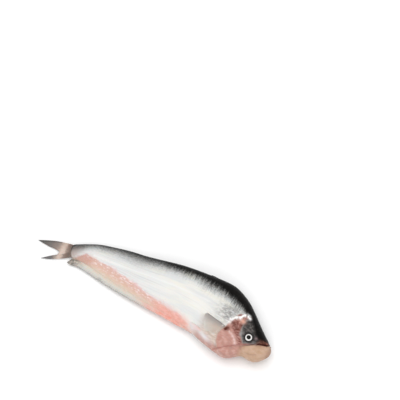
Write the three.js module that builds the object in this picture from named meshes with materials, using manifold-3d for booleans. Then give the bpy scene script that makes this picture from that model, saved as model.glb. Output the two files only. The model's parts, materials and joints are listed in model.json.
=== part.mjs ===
// A whole raw butter catfish, lying on its left side: the right flank is up, the back points to +Y
// and the head to +X. The skin of head, trunk and tail stalk is one body. The eyes, fins and
// barbels are pieces of their own, each set SEAT clear of the skin that it grows from.
//
// Units are millimetres. The fish is modelled in "fish axes": x runs from the snout (0) towards the
// tail (negative), y from belly to back, z up from the surface it lies on. At the end the whole
// group is moved so that the origin is under the middle of its box.
import * as THREE from "three";
import { mergeVertices } from "three/addons/utils/BufferGeometryUtils.js";
import Module from "manifold-3d";

const wasm = await Module();
wasm.setup();

// ---- Driving dimensions -------------------------------------------------------------------------

const BODY_LENGTH = 185; // snout to the root of the tail fin
const BODY_DEPTH = 54; // back to belly at the deepest place of the outline
const BODY_WIDTH = 25.4; // flank to flank across the gill covers
const NOSE_RADIUS = 7; // how far back the rounding of the snout and chin reaches
const TAIL_END_RADIUS = 3; // rounding of the stalk under the tail fin's root
const PRESSED = 0.9; // how far the lower flank is pressed flat by the fish's weight
const SEAT = 0.35; // gap between the skin and each piece that grows from it

const MOUTH_LENGTH = 11; // from the front of the lips to the corner of the mouth
const MOUTH_GAPE = 1.1; // opening between the lips at the front
const MOUTH_CORNER_GAPE = 0.35;

const EYE_DIAMETER = 6;
const EYE_BULGE = 0.9; // how far the eye stands out of the skin
const EYE_DEPTH = 1.5; // how far it is sunk in the head

const TAIL_FIN_LENGTH = 28; // root to the tip of the longer lobe
const TAIL_FIN_ROOT = 1.9; // thickness at the root
const TAIL_FIN_EDGE = 0.7; // thickness at the free edge

const ANAL_FIN_FRONT_HEIGHT = 1.6;
const ANAL_FIN_REAR_HEIGHT = 4.6;
const ANAL_FIN_ROOT = 1.3;
const ANAL_FIN_EDGE = 0.6;

const DORSAL_FIN_LENGTH = 12; // the few rays, folded back along the ridge
const DORSAL_FIN_BASE = 4;
const PECTORAL_FIN_LENGTH = 18.5;
const PECTORAL_FIN_THICKNESS = 0.8;
const PELVIC_FIN_LENGTH = 11;
const PELVIC_FIN_THICKNESS = 0.7;

const BARBEL_DIAMETER = 0.9; // the long barbel of the upper jaw, at its root
const CHIN_BARBEL_DIAMETER = 0.7;
const BARBEL_TIP_SHARE = 0.5; // tip diameter as a share of the root's

// ---- Mesh fineness ------------------------------------------------------------------------------

const BODY_STATIONS = 56;
const BODY_AROUND = 32;

// ---- Form of the body ---------------------------------------------------------------------------

// Each row is one cross-section. Along is a share of BODY_LENGTH from the snout. Back, belly and
// level (the height where the section is widest) are shares of BODY_DEPTH. Half is a share of half
// the BODY_WIDTH. Back edge and belly edge say how sharp the section is there: under 1 is full and
// square, 1 is an ellipse, and towards 2 it becomes a keel.
//   along   back    belly   level   half  back edge  belly edge
const SECTIONS = [
  [0.0, 0.02, -0.205, -0.08, 0.68, 1.0, 0.85],
  [0.016, 0.036, -0.23, -0.08, 0.7, 1.0, 0.85],
  [0.032, 0.062, -0.268, -0.077, 0.71, 1.0, 0.83],
  [0.054, 0.118, -0.305, -0.072, 0.73, 1.0, 0.8],
  [0.081, 0.204, -0.308, -0.067, 0.765, 1.0, 0.8],
  [0.108, 0.296, -0.302, -0.06, 0.8, 1.0, 0.82],
  [0.146, 0.405, -0.392, -0.037, 0.88, 1.0, 0.85],
  [0.178, 0.487, -0.438, -0.018, 0.95, 1.0, 0.86],
  [0.216, 0.557, -0.431, 0.01, 1.0, 1.0, 0.88],
  [0.249, 0.603, -0.41, 0.037, 1.0, 1.0, 0.9],
  [0.281, 0.626, -0.374, 0.066, 0.985, 1.0, 0.92],
  [0.324, 0.628, -0.329, 0.1, 0.97, 1.0, 0.97],
  [0.368, 0.62, -0.289, 0.125, 0.94, 1.0, 1.1],
  [0.432, 0.608, -0.252, 0.145, 0.885, 1.0, 1.28],
  [0.514, 0.573, -0.221, 0.158, 0.8, 1.02, 1.42],
  [0.595, 0.51, -0.198, 0.162, 0.695, 1.04, 1.5],
  [0.676, 0.446, -0.172, 0.16, 0.585, 1.06, 1.52],
  [0.757, 0.404, -0.136, 0.158, 0.48, 1.06, 1.48],
  [0.838, 0.358, -0.093, 0.152, 0.388, 1.05, 1.36],
  [0.892, 0.318, -0.064, 0.142, 0.338, 1.04, 1.22],
  [0.935, 0.254, -0.049, 0.112, 0.3, 1.02, 1.1],
  [0.973, 0.18, -0.052, 0.068, 0.265, 1.0, 1.0],
  [1.0, 0.136, -0.055, 0.04, 0.22, 1.0, 1.0],
];

// A smooth curve through [place, value] pairs, as a function of the place.
function curveThrough(pairs) {
  const slope = (i, j) => (pairs[j][1] - pairs[i][1]) / (pairs[j][0] - pairs[i][0]);
  const last = pairs.length - 1;
  const tangents = pairs.map((_, i) => slope(Math.max(i - 1, 0), Math.min(i + 1, last)));
  return (place) => {
    const at = Math.min(Math.max(place, pairs[0][0]), pairs[last][0]);
    let i = 0;
    while (i < last - 1 && at > pairs[i + 1][0]) i += 1;
    const span = pairs[i + 1][0] - pairs[i][0];
    const t = (at - pairs[i][0]) / span;
    const rise = t * t * (3 - 2 * t);
    return (
      pairs[i][1] * (1 - rise) +
      pairs[i + 1][1] * rise +
      tangents[i] * span * t * (1 - t) * (1 - t) -
      tangents[i + 1] * span * t * t * (1 - t)
    );
  };
}

const column = (n) => curveThrough(SECTIONS.map((row) => [row[0], row[n]]));
const [backShare, bellyShare, levelShare, halfShare, backEdge, bellyEdge] = [1, 2, 3, 4, 5, 6].map(column);
const widestShare = Math.max(...SECTIONS.map((row) => row[4]));
const widestAt = SECTIONS.find((row) => row[4] === widestShare)[0];

// The rounding that closes the body at the snout and at the end of the tail stalk: 0 at the end, 1 inside.
function rounding(along) {
  const round = (distance, radius) => Math.sqrt(1 - (1 - Math.min(1, Math.max(0, distance) / radius)) ** 2);
  return round(along * BODY_LENGTH, NOSE_RADIUS) * round((1 - along) * BODY_LENGTH, TAIL_END_RADIUS);
}

// One cross-section's measures in millimetres.
function section(along) {
  const level = levelShare(along) * BODY_DEPTH;
  const shrink = rounding(along);
  return {
    level,
    up: (backShare(along) * BODY_DEPTH - level) * shrink,
    down: (level - bellyShare(along) * BODY_DEPTH) * shrink,
    half: (halfShare(along) * BODY_WIDTH * shrink) / 2,
  };
}

// Height of the fish's middle plane above the surface. The head is stiff, and the limp trunk behind
// the gill covers sinks until its lower flank lies on the surface.
function middle(along) {
  const half = (halfShare(Math.max(along, widestAt)) * BODY_WIDTH) / 2;
  return half - Math.min(PRESSED, half * 0.2);
}

// The last sections lean over with the drooping tail fin. This is the slope of the section's plane.
const TAIL_DROOP = 20; // degrees by which the tail fin points below the fish's axis
const lean = (along) =>
  Math.sin(THREE.MathUtils.degToRad(TAIL_DROOP)) * THREE.MathUtils.smoothstep(along, 0.88, 1);

// A point of the skin: along from snout to tail, round as an angle from the back (0) over the upper
// flank (a quarter turn) to the belly (half a turn) and back along the lower flank.
function skinPoint(along, round) {
  const s = section(along);
  const rise = Math.cos(round);
  const edge = rise > 0 ? backEdge(along) : bellyEdge(along);
  const side = Math.sin(round);
  const height = (rise > 0 ? s.up : s.down) * rise;
  return new THREE.Vector3(
    -along * BODY_LENGTH - height * lean(along),
    s.level + height,
    middle(along) + Math.sign(side) * s.half * Math.abs(side) ** edge,
  );
}

// Half the body's thickness at a place on the flank, 0 outside the outline.
function halfThickness(x, y) {
  const along = -x / BODY_LENGTH;
  const s = section(along);
  const above = y > s.level;
  const share = Math.min(1, Math.abs(y - s.level) / (above ? s.up : s.down));
  return s.half * Math.sqrt(1 - share * share) ** (above ? backEdge(along) : bellyEdge(along));
}

// Height of the skin at a place on the flank. side is 1 on the upper flank and -1 on the lower one.
const flank = (x, y, side) => middle(-x / BODY_LENGTH) + side * halfThickness(x, y);

// The outward direction of the skin there.
function flankNormal(x, y, side) {
  const step = 0.5;
  const slopeX = (flank(x + step, y, side) - flank(x - step, y, side)) / (2 * step);
  const slopeY = (flank(x, y + step, side) - flank(x, y - step, side)) / (2 * step);
  return new THREE.Vector3(-slopeX, -slopeY, 1).multiplyScalar(side).normalize();
}

const backLine = (along) => section(along).level + section(along).up;

// ---- Helpers ------------------------------------------------------------------------------------

// Moves every vertex of a closed three.js geometry to where the function puts it.
function reshape(geometry, place) {
  const position = geometry.getAttribute("position");
  const from = new THREE.Vector3();
  for (let i = 0; i < position.count; i += 1) {
    const to = place(from.fromBufferAttribute(position, i).clone());
    position.setXYZ(i, to.x, to.y, to.z);
  }
  return geometry;
}

// A closed geometry as a solid for joining and cutting. A shape that was reshaped through a mirror
// has its faces turned round first.
function solid(geometry) {
  const bare = geometry.clone();
  bare.deleteAttribute("normal");
  bare.deleteAttribute("uv");
  const merged = mergeVertices(bare, 1e-4);
  const vertProperties = merged.getAttribute("position").array;
  const faces = [];
  for (let i = 0; i < merged.index.count; i += 3) {
    const corners = [0, 1, 2].map((n) => merged.index.getX(i + n));
    if (new Set(corners).size === 3) faces.push(...corners);
  }
  const made = (triVerts) =>
    new wasm.Manifold(new wasm.Mesh({ numProp: 3, vertProperties, triVerts: new Uint32Array(triVerts) }));
  const first = made(faces);
  return first.volume() > 0 ? first : made(faces.reverse());
}

function geometryOf(manifold) {
  const mesh = manifold.getMesh();
  const points = new Float32Array(mesh.numVert * 3);
  for (let i = 0; i < mesh.numVert; i += 1) {
    points.set(mesh.vertProperties.subarray(i * mesh.numProp, i * mesh.numProp + 3), i * 3);
  }
  const made = new THREE.BufferGeometry();
  made.setAttribute("position", new THREE.BufferAttribute(points, 3));
  made.setIndex(new THREE.BufferAttribute(mesh.triVerts, 1));
  made.computeVertexNormals();
  return made;
}

const fish = new THREE.Group();

function addPiece(name, manifold, material) {
  const mesh = new THREE.Mesh(geometryOf(manifold), material);
  mesh.name = name;
  fish.add(mesh);
}

// A thin blade, such as a fin. place(root, span) gives the middle of the blade for root 0 (at the
// body) to 1 (at the free edge) and span 0 to 1 across its rays; thickness(root) is its thickness;
// across is the direction in which it is thick.
function blade(rootSteps, spanSteps, place, thickness, across) {
  return solid(
    reshape(new THREE.BoxGeometry(1, 1, 1, rootSteps, spanSteps, 1), (v) => {
      const root = v.x + 0.5;
      const span = v.y + 0.5;
      const middlePoint = place(root, span);
      return middlePoint.addScaledVector(across(middlePoint), v.z * thickness(root));
    }),
  );
}

const upwards = new THREE.Vector3(0, 0, 1);
const taper = (thick, thin) => (share) => thick + (thin - thick) * share;

// ---- Materials ----------------------------------------------------------------------------------

const skin = new THREE.MeshStandardMaterial({ color: 0xc9cdcd, roughness: 0.32, metalness: 0.25 });
const finMembrane = new THREE.MeshStandardMaterial({ color: 0xb3a696, roughness: 0.4, metalness: 0.0 });
const tailMembrane = new THREE.MeshStandardMaterial({ color: 0x8d7a6d, roughness: 0.45, metalness: 0.0 });
const eyeball = new THREE.MeshStandardMaterial({ color: 0xd9d9d4, roughness: 0.08, metalness: 0.1 });
const whisker = new THREE.MeshStandardMaterial({ color: 0xb5786c, roughness: 0.4, metalness: 0.0 });

// ---- Body ---------------------------------------------------------------------------------------

// A sphere whose poles are the snout and the end of the tail stalk, drawn out to the skin. Its rings
// stand closer together towards the snout, where the form changes fastest.
function bodySolid() {
  const crowding = 1.55;
  return solid(
    reshape(new THREE.SphereGeometry(1, BODY_AROUND, BODY_STATIONS), (v) => {
      const ring = Math.acos(Math.min(1, Math.max(-1, v.y))) / Math.PI;
      const along = ring < 0.94 ? (ring / 0.94) ** crowding * 0.985 : 0.985 + ((ring - 0.94) / 0.06) * 0.015;
      return skinPoint(along, Math.atan2(v.z, v.x));
    }),
  );
}

// The surface that the fish lies on, as a slab for cutting the lower flank flat.
function tableSlab() {
  const size = 2 * BODY_LENGTH;
  return solid(new THREE.BoxGeometry(size, size, BODY_WIDTH)).translate([-BODY_LENGTH / 2, 0, -BODY_WIDTH / 2]);
}

// The mouth opens at the top of the snout and runs down and back, so that the lower jaw stands out
// in front of the upper one. It closes towards its corners.
const mouthLine = (x) => x * 0.4;

function mouthSlit() {
  const beyond = 4;
  return solid(
    reshape(new THREE.BoxGeometry(1, 1, 1, 6, 1, 1), (v) => {
      const x = -MOUTH_LENGTH + (v.x + 0.5) * (MOUTH_LENGTH + beyond);
      const open = taper(MOUTH_CORNER_GAPE, MOUTH_GAPE)((v.x + 0.5) ** 1.5);
      return new THREE.Vector3(x, mouthLine(x) + v.y * open, middle(0) + v.z * 2 * BODY_WIDTH);
    }),
  );
}

// ---- Eyes ---------------------------------------------------------------------------------------

const eyeAlong = 0.108;
const eyeLevel = -3.8;

// A lens-shaped eye, or with extra its socket, set square to the skin of that side.
function eyeSolid(side, extra) {
  const x = -eyeAlong * BODY_LENGTH;
  const outward = flankNormal(x, eyeLevel, side);
  const thick = (EYE_BULGE + EYE_DEPTH) / 2;
  const centre = new THREE.Vector3(x, eyeLevel, flank(x, eyeLevel, side)).addScaledVector(outward, EYE_BULGE - thick);
  const turn = new THREE.Quaternion().setFromUnitVectors(upwards, outward);
  const radius = EYE_DIAMETER / 2 + extra;
  return solid(
    reshape(new THREE.SphereGeometry(1, 18, 10), (v) =>
      new THREE.Vector3(v.x * radius, v.z * radius, v.y * (thick + extra)).applyQuaternion(turn).add(centre),
    ),
  );
}

// ---- Tail fin -----------------------------------------------------------------------------------

// The fork's trailing edge from the upper tip over the notch to the lower tip. Places are measured
// from the middle of the root: first along the fin, as shares of its length, then across it, as
// shares of the depth of the tail stalk.
const FORK = [
  [1.0, 0.55],
  [0.775, 0.29],
  [0.61, 0.13],
  [0.44, 0.0],
  [0.33, -0.17],
  [0.4, -0.42],
  [0.57, -0.52],
  [0.71, -0.65],
  [0.85, -0.78],
];

// The root follows the rounded end of the stalk.
function tailFin() {
  const edge = new THREE.SplineCurve(FORK.map(([a, b]) => new THREE.Vector2(a, b)));
  const end = section(0.985);
  const depth = end.up + end.down;
  const droop = THREE.MathUtils.degToRad(TAIL_DROOP);
  const rootZ = middle(1);
  return blade(
    8,
    18,
    (root, span) => {
      const tip = edge.getPoint(span);
      const across = (0.5 - span) * 0.8;
      const bow = Math.sin(Math.PI * root) * 0.22 * (0.5 - span);
      const a0 = -TAIL_END_RADIUS * (1 - Math.sqrt(1 - (2 * across) ** 2));
      const a = SEAT + a0 + (tip.x * TAIL_FIN_LENGTH - a0) * root;
      const b = (across + (tip.y - across) * root + bow) * depth;
      return new THREE.Vector3(
        -BODY_LENGTH - a * Math.cos(droop) - b * Math.sin(droop),
        levelShare(1) * BODY_DEPTH - a * Math.sin(droop) + b * Math.cos(droop),
        rootZ + (TAIL_FIN_EDGE * 0.8 - rootZ) * Math.max(0, a / TAIL_FIN_LENGTH),
      );
    },
    taper(TAIL_FIN_ROOT, TAIL_FIN_EDGE),
    () => upwards,
  );
}

// ---- Anal fin -----------------------------------------------------------------------------------

const ANAL_FIN_START = 0.345;
const ANAL_FIN_END = 0.985;

// A long low fin under the whole tail half. Its rays lean back, and its edge hangs a little.
function analFin() {
  const height = curveThrough([
    [0, ANAL_FIN_FRONT_HEIGHT * 0.5],
    [0.08, ANAL_FIN_FRONT_HEIGHT],
    [0.7, ANAL_FIN_REAR_HEIGHT],
    [0.94, ANAL_FIN_REAR_HEIGHT],
    [1, ANAL_FIN_REAR_HEIGHT * 0.5],
  ]);
  const rake = 0.5;
  return blade(
    2,
    44,
    (root, span) => {
      const along = ANAL_FIN_START + (ANAL_FIN_END - ANAL_FIN_START) * span;
      const out = SEAT + root * height(span);
      const base = skinPoint(along, Math.PI);
      return new THREE.Vector3(
        base.x - out * rake,
        base.y - out,
        base.z - root * 0.3 * Math.max(0, base.z - 1),
      );
    },
    taper(ANAL_FIN_ROOT, ANAL_FIN_EDGE),
    () => upwards,
  );
}

// ---- Dorsal fin ---------------------------------------------------------------------------------

const DORSAL_FIN_START = 0.34;

// A short fin of a few rays, folded back on the ridge of the back.
function dorsalFin() {
  const rise = 1.3;
  return blade(
    6,
    4,
    (root, span) => {
      const back = span * DORSAL_FIN_BASE + root * (DORSAL_FIN_LENGTH - DORSAL_FIN_BASE) * (1 - span * 0.3);
      const x = -DORSAL_FIN_START * BODY_LENGTH - back;
      const y = backLine(-x / BODY_LENGTH) + SEAT + 0.05 + rise * (1 - span * 0.75) * Math.sin((root * Math.PI) / 2);
      return new THREE.Vector3(x, y, middle(-x / BODY_LENGTH));
    },
    taper(1.0, 0.5),
    () => upwards,
  );
}

// ---- Paired fins --------------------------------------------------------------------------------

// A fan of rays laid on the flank. from is the place of its root in fish axes, angles are those of
// its first and last ray, in degrees from straight back, positive towards the back of the fish.
function flankFan(side, { from, angles, length, shorten, rootWidth, thickness, clearOfTable = 0.15 }) {
  const clear = SEAT + thickness / 2;
  return blade(
    7,
    6,
    (root, span) => {
      const angle = THREE.MathUtils.degToRad(angles[0] + (angles[1] - angles[0]) * span);
      const reach = root * length * (1 - shorten * span ** 1.5);
      const sideways = (0.5 - span) * rootWidth;
      const x = from[0] * BODY_LENGTH * -1 - reach * Math.cos(angle) - sideways * Math.sin(angle);
      const y = from[1] * BODY_DEPTH + reach * Math.sin(angle) + sideways * Math.cos(angle);
      const slant = flankNormal(x, y, side);
      const onSkin = flank(x, y, side) + (side * clear) / Math.max(0.5, Math.abs(slant.z));
      const z = side > 0 ? onSkin : Math.max(Math.min(onSkin, middle(0)), thickness / 2 + clearOfTable);
      return new THREE.Vector3(x, y, z);
    },
    taper(thickness, thickness * 0.7),
    () => upwards,
  );
}

const PECTORAL_UP = {
  from: [0.228, -0.185],
  angles: [17, -14],
  length: PECTORAL_FIN_LENGTH,
  shorten: 0.27,
  rootWidth: 7,
  thickness: PECTORAL_FIN_THICKNESS,
};
// The lower one is folded into the hollow between the belly and the table.
const PECTORAL_DOWN = { ...PECTORAL_UP, from: [0.24, -0.32], angles: [12, -2], rootWidth: 3 };
const PELVIC_UP = {
  from: [0.315, -0.255],
  angles: [12, -4],
  length: PELVIC_FIN_LENGTH,
  shorten: 0.35,
  rootWidth: 2,
  thickness: PELVIC_FIN_THICKNESS,
};
const PELVIC_DOWN = { ...PELVIC_UP, from: [0.37, -0.235], angles: [8, -4] };

// ---- Barbels ------------------------------------------------------------------------------------

// A limp tapering whisker laid along the skin. Places are [share of length, share of depth].
function barbel(side, diameter, places) {
  const route = new THREE.CatmullRomCurve3(
    places.map(([along, across]) => {
      const x = -along * BODY_LENGTH;
      const y = across * BODY_DEPTH;
      const slant = Math.max(0.45, Math.abs(flankNormal(x, y, side).z));
      const clear = (SEAT + diameter / 2) / slant;
      return new THREE.Vector3(x, y, Math.max(flank(x, y, side) + side * clear, diameter / 2 + 0.1));
    }),
  );
  const steps = 16;
  const frames = route.computeFrenetFrames(steps, false);
  return solid(
    reshape(new THREE.CylinderGeometry(1, 1, 1, 6, steps), (v) => {
      const share = 0.5 - v.y;
      const frame = Math.round(share * steps);
      const radius = (diameter / 2) * taper(1, BARBEL_TIP_SHARE)(share);
      return route
        .getPoint(share)
        .addScaledVector(frames.normals[frame], v.x * radius)
        .addScaledVector(frames.binormals[frame], v.z * radius);
    }),
  );
}

const BARBEL_UP = [
  [0.056, -0.036],
  [0.076, -0.098],
  [0.098, -0.155],
  [0.121, -0.205],
  [0.15, -0.265],
  [0.178, -0.325],
  [0.204, -0.365],
  [0.226, -0.38],
];
const BARBEL_DOWN = [
  [0.056, -0.036],
  [0.08, -0.12],
  [0.105, -0.2],
  [0.135, -0.27],
  [0.17, -0.325],
  [0.2, -0.345],
  [0.23, -0.355],
];
const CHIN_BARBEL = [
  [0.05, -0.225],
  [0.068, -0.25],
  [0.085, -0.262],
  [0.102, -0.265],
];

// ---- Assembly -----------------------------------------------------------------------------------

const sides = { right: 1, left: -1 }; // the right side is up

const body = bodySolid()
  .subtract(tableSlab())
  .subtract(mouthSlit())
  .subtract(eyeSolid(sides.right, SEAT))
  .subtract(eyeSolid(sides.left, SEAT));
addPiece("body", body, skin);

for (const [name, side] of Object.entries(sides)) {
  const up = side > 0;
  addPiece(`eye_${name}`, eyeSolid(side, 0), eyeball);
  addPiece(`pectoral_fin_${name}`, flankFan(side, up ? PECTORAL_UP : PECTORAL_DOWN), finMembrane);
  addPiece(`pelvic_fin_${name}`, flankFan(side, up ? PELVIC_UP : PELVIC_DOWN), finMembrane);
  addPiece(`barbel_${name}`, barbel(side, BARBEL_DIAMETER, up ? BARBEL_UP : BARBEL_DOWN), whisker);
  addPiece(`chin_barbel_${name}`, barbel(side, CHIN_BARBEL_DIAMETER, CHIN_BARBEL), whisker);
}
addPiece("tail_fin", tailFin(), tailMembrane);
addPiece("anal_fin", analFin(), finMembrane);
addPiece("dorsal_fin", dorsalFin(), finMembrane);

// The origin goes under the middle of the fish's box, on the surface that it lies on.
const extent = new THREE.Box3().setFromObject(fish);
const centre = extent.getCenter(new THREE.Vector3());
fish.position.set(-centre.x, -centre.y, -extent.min.z);

export default fish;
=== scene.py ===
# %% [markdown]
# # A whole raw butter catfish
# The fish lies on its left side, so its right flank is up. Its skin has no scales: it is smooth, wet
# and silver, nearly black along the back and pink where the flesh shines through over the long fin
# and the gill cover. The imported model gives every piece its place. This lesson makes the skin, the
# eyes, the fins and the barbels again with the shape and finish of the real ones.

# %% Load the frame
import json
import math
import bpy
import numpy as np
from mathutils import Matrix, Vector

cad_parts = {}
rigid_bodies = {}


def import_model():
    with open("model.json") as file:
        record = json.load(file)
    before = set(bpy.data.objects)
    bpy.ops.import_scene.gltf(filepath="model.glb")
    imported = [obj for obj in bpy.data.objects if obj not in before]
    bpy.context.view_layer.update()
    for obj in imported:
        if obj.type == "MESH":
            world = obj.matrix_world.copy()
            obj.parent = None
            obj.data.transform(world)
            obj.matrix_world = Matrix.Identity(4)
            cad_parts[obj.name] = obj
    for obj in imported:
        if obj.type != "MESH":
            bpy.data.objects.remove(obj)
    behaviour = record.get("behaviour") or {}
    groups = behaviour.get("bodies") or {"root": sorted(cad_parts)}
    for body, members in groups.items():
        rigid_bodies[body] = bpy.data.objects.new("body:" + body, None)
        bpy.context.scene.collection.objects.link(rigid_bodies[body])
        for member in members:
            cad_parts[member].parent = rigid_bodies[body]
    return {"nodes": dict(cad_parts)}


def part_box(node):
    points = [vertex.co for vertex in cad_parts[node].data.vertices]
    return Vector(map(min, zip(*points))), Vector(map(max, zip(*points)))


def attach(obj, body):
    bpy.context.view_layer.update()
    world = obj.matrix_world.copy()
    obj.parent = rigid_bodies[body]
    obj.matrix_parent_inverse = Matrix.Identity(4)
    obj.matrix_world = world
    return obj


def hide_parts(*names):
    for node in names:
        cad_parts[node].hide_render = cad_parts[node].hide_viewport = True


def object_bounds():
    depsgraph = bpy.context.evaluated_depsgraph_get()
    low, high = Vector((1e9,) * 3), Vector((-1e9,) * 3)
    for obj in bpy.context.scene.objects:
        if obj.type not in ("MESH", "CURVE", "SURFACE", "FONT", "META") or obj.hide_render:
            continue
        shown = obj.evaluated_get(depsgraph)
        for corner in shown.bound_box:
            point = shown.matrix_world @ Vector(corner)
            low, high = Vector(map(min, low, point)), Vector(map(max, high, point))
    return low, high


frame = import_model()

CAD_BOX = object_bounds()
print("pieces in the frame:", sorted(frame["nodes"]))

# %% [markdown]
# ## Measuring along the fish
# All shapes and colours of a fish follow its own body, so the lesson measures in "fish axes", in
# millimetres: x is 0 at the snout and negative towards the tail, y runs from belly to back, and z is
# up. The table holds the cross-sections: for each place along the body, the back, the belly, the
# widest level, the half width, and how sharp the back and belly are.

# %% The body's cross-sections
LENGTH, DEPTH, WIDTH = 185.0, 54.0, 25.4
NOSE_RADIUS, STALK_END_RADIUS, PRESSED, TAIL_DROOP = 7.0, 3.0, 0.9, 20.0
SECTIONS = np.array([
    (0.0, 0.03, -0.205, -0.08, 0.68, 1.0, 0.85),
    (0.016, 0.05, -0.23, -0.08, 0.7, 1.0, 0.85),
    (0.032, 0.082, -0.268, -0.077, 0.71, 1.0, 0.83),
    (0.054, 0.138, -0.305, -0.072, 0.73, 1.0, 0.8),
    (0.081, 0.216, -0.308, -0.067, 0.765, 1.0, 0.8),
    (0.108, 0.296, -0.302, -0.06, 0.8, 1.0, 0.82),
    (0.146, 0.407, -0.392, -0.037, 0.88, 1.0, 0.85),
    (0.178, 0.490, -0.438, -0.018, 0.95, 1.0, 0.86),
    (0.216, 0.560, -0.431, 0.01, 1.0, 1.0, 0.88),
    (0.249, 0.606, -0.41, 0.037, 1.0, 1.0, 0.9),
    (0.281, 0.628, -0.386, 0.066, 0.985, 1.0, 0.92),
    (0.324, 0.628, -0.342, 0.1, 0.97, 1.0, 0.97),
    (0.368, 0.62, -0.289, 0.125, 0.94, 1.0, 1.1),
    (0.432, 0.606, -0.252, 0.145, 0.885, 1.0, 1.28),
    (0.514, 0.577, -0.221, 0.158, 0.8, 1.02, 1.42),
    (0.595, 0.525, -0.198, 0.162, 0.695, 1.04, 1.5),
    (0.676, 0.471, -0.172, 0.16, 0.585, 1.06, 1.52),
    (0.757, 0.434, -0.136, 0.158, 0.48, 1.06, 1.48),
    (0.838, 0.375, -0.093, 0.152, 0.388, 1.05, 1.36),
    (0.892, 0.327, -0.064, 0.142, 0.338, 1.04, 1.22),
    (0.935, 0.254, -0.049, 0.112, 0.3, 1.02, 1.1),
    (0.973, 0.18, -0.052, 0.068, 0.265, 1.0, 1.0),
    (1.0, 0.136, -0.055, 0.04, 0.22, 1.0, 1.0),
])
print(len(SECTIONS), "cross-sections on", LENGTH, "mm")


# %% A smooth curve through a few values
def curve_through(places, values):
    """A smooth curve through the values, as a function of the place."""
    xs, ys = np.asarray(places, float), np.asarray(values, float)
    if xs[0] > xs[-1]:
        xs, ys = xs[::-1], ys[::-1]
    last = len(xs) - 1
    before, after = np.clip(np.arange(last + 1) - 1, 0, last), np.clip(np.arange(last + 1) + 1, 0, last)
    slope = (ys[after] - ys[before]) / (xs[after] - xs[before])

    def at(place):
        place = np.clip(place, xs[0], xs[-1])
        i = np.clip(np.searchsorted(xs, place, side="right") - 1, 0, last - 1)
        span = xs[i + 1] - xs[i]
        t = (place - xs[i]) / span
        rise = t * t * (3 - 2 * t)
        return (ys[i] * (1 - rise) + ys[i + 1] * rise
                + slope[i] * span * t * (1 - t) ** 2 - slope[i + 1] * span * t * t * (1 - t))

    return at


# %% [markdown]
# Between its top and its level, and between its level and its lowest point, each section is part of
# an oval. The last two numbers bend that oval: above 1 the edge is sharper, as along the belly over
# the long fin, and below 1 it is blunter, as under the head.

# %% The surface of the body
back_share, belly_share, level_share, half_share, back_edge, belly_edge = (
    curve_through(SECTIONS[:, 0], SECTIONS[:, n]) for n in range(1, 7))


def rounding(along):
    """0 at the very ends of the body, 1 inside it."""
    def one(distance, radius):
        return np.sqrt(1 - (1 - np.clip(distance / radius, 0, 1)) ** 2)
    return one(along * LENGTH, NOSE_RADIUS) * one((1 - along) * LENGTH, STALK_END_RADIUS)


def section(along):
    level, shrink = level_share(along) * DEPTH, rounding(along)
    up = (back_share(along) * DEPTH - level) * shrink
    down = (level - belly_share(along) * DEPTH) * shrink
    return level, up, down, half_share(along) * WIDTH / 2 * shrink


def middle(along):
    """Height of the middle plane. The limp trunk sinks until its lower flank is pressed flat."""
    half = half_share(np.maximum(along, 0.216)) * WIDTH / 2
    return half - np.minimum(PRESSED, 0.2 * half)


def smoothstep(low, high, value):
    t = np.clip((value - low) / (high - low), 0, 1)
    return t * t * (3 - 2 * t)


def skin_point(along, turn):
    """A point of the skin. turn is 0 on the back, a quarter turn on the upper flank, half on the belly."""
    level, up, down, half = section(along)
    rise, side = np.cos(turn), np.sin(turn)
    height = np.where(rise > 0, up, down) * rise
    edge = np.where(rise > 0, back_edge(along), belly_edge(along))
    lean = math.sin(math.radians(TAIL_DROOP)) * smoothstep(0.88, 1, along)
    x = -along * LENGTH - height * lean
    z = middle(along) + np.sign(side) * half * np.abs(side) ** edge
    return np.stack([x, level + height, z], axis=-1)


def flank(x, y, side=1):
    """Height of the skin over a place on the flank, on the upper (1) or the lower (-1) side."""
    along = -np.asarray(x, float) / LENGTH
    level, up, down, half = section(along)
    above = y > level
    share = np.clip(np.abs(y - level) / np.maximum(np.where(above, up, down), 1e-6), 0, 1)
    edge = np.where(above, back_edge(along), belly_edge(along))
    return middle(along) + side * half * np.sqrt(1 - share ** 2) ** edge


print("thickness a fifth of the way back:", round(2 * float(section(0.2)[3]), 1), "mm")

# %% Where the fish lies in the frame
SNOUT_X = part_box("body")[1].x * 1000
ridge = skin_point(np.linspace(0, 1, 400), np.zeros(400))
ZERO_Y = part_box("body")[1].y * 1000 - ridge[:, 1].max()


def to_row(points):
    """Fish axes in millimetres to the row frame in metres."""
    points = np.asarray(points, float).reshape(-1, 3)
    return (points + (SNOUT_X, ZERO_Y, 0)) / 1000


def to_fish(points):
    return np.asarray(points, float).reshape(-1, 3) * 1000 - (SNOUT_X, ZERO_Y, 0)


print(f"snout at x {SNOUT_X:.1f} mm, fish axes' y 0 at {ZERO_Y:.2f} mm")

# %% [markdown]
# ## Helpers for shaping in code
# A primitive is added with nothing else selected. Its vertices are then read, moved and written back
# all at once, which is the same as sculpting with a very exact brush.


# %% Helpers: selecting, reading and moving
def deselect():
    if bpy.context.object and bpy.context.object.mode != "OBJECT":
        bpy.ops.object.mode_set(mode="OBJECT")
    bpy.ops.object.select_all(action="DESELECT")


def only(piece):
    deselect()
    piece.select_set(True)
    bpy.context.view_layer.objects.active = piece


def corners(piece):
    flat = np.empty(len(piece.data.vertices) * 3)
    piece.data.vertices.foreach_get("co", flat)
    return flat.reshape(-1, 3)


def outward(piece):
    flat = np.empty(len(piece.data.vertices) * 3)
    piece.data.vertices.foreach_get("normal", flat)
    return flat.reshape(-1, 3)


def put(piece, points):
    piece.data.vertices.foreach_set("co", np.ascontiguousarray(points, float).ravel())
    piece.data.update()


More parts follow.
